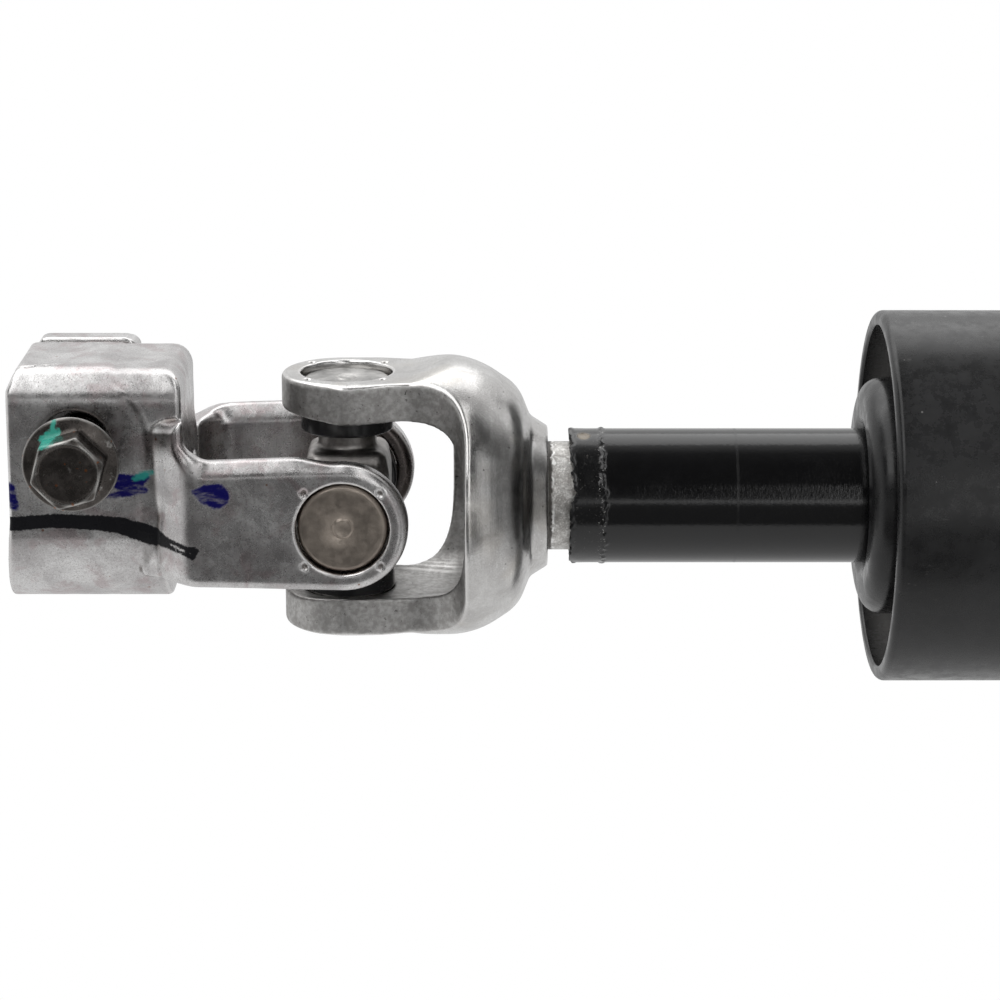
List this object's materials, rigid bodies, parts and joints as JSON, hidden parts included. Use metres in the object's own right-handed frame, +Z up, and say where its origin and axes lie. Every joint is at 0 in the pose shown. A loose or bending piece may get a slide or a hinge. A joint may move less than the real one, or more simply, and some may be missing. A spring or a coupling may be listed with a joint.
{
  "type": "intermediate steering shaft",
  "caption": "Steering intermediate shaft with needle-bearing universal joints, splined slide and dash seal.",
  "frame": {"origin": "on the shaft's axis, midway between the centres of the two universal joints", "axes": "+X along the shaft from the lower joint to the upper one, +Y along the clamp yokes' ears away from the lower bolt's head, +Z up along the bell yokes' ears"},
  "size_m": [0.382, 0.0718, 0.0672],
  "materials": {
    "polished_steel": "forged and tumbled, satin with soft dark reflections",
    "forged_steel": "forged and blasted, satin with speckle and slight rust",
    "ground_steel": "machined, satin",
    "bearing_steel": "drawn, hardened, taupe",
    "phosphated_steel": "dark phosphate coat with small rust spots",
    "drawn_steel": "bright drawn steel with speckle",
    "seal_rubber": "matte black",
    "sleeve_plastic": "glossy black",
    "dash_rubber": "matte black with light scuffs",
    "bush_plastic": "natural white"
  },
  "bodies": {
    "shaft": {"shaft_tube": "drawn_steel", "tube_sleeve": "sleeve_plastic", "lower_bell_yoke": "polished_steel", "lower_bell_cup_top": "bearing_steel", "lower_bell_cup_bottom": "bearing_steel"},
    "dash_seal": {"dash_seal": "dash_rubber", "dash_seal_bush": "bush_plastic"},
    "lower_cross": {"lower_cross": "ground_steel", "lower_seal_top": "seal_rubber", "lower_seal_bottom": "seal_rubber", "lower_seal_front": "seal_rubber", "lower_seal_rear": "seal_rubber"},
    "lower_clamp": {"lower_clamp_yoke": "forged_steel", "lower_clamp_cup_front": "bearing_steel", "lower_clamp_cup_rear": "bearing_steel", "lower_pinch_bolt": "phosphated_steel"},
    "sliding_end": {"sliding_bar": "ground_steel", "upper_bell_yoke": "polished_steel", "upper_bell_cup_top": "bearing_steel", "upper_bell_cup_bottom": "bearing_steel"},
    "upper_cross": {"upper_cross": "ground_steel", "upper_seal_top": "seal_rubber", "upper_seal_bottom": "seal_rubber", "upper_seal_front": "seal_rubber", "upper_seal_rear": "seal_rubber"},
    "upper_clamp": {"upper_clamp_yoke": "forged_steel", "upper_clamp_cup_front": "bearing_steel", "upper_clamp_cup_rear": "bearing_steel", "upper_pinch_bolt": "phosphated_steel"}
  },
  "joints": [
    {"name": "lower_cross_swing", "type": "hinge", "parent": "shaft", "child": "lower_cross", "pos_m": [-0.13, 0, 0], "axis": [0, 0, 1], "range_deg": [-35, 35]},
    {"name": "lower_clamp_swing", "type": "hinge", "parent": "lower_cross", "child": "lower_clamp", "pos_m": [-0.13, 0, 0], "axis": [0, 1, 0], "range_deg": [-35, 35]},
    {"name": "bar_slide", "type": "slide", "parent": "shaft", "child": "sliding_end", "axis": [1, 0, 0], "range_m": [-0.025, 0.025]},
    {"name": "upper_cross_swing", "type": "hinge", "parent": "sliding_end", "child": "upper_cross", "pos_m": [0.13, 0, 0], "axis": [0, 0, 1], "range_deg": [-35, 35]},
    {"name": "upper_clamp_swing", "type": "hinge", "parent": "upper_cross", "child": "upper_clamp", "pos_m": [0.13, 0, 0], "axis": [0, 1, 0], "range_deg": [-35, 35]},
    {"name": "dash_seal_turn", "type": "hinge", "parent": "shaft", "child": "dash_seal", "pos_m": [0, 0, 0], "axis": [1, 0, 0], "continuous": true}
  ]
}
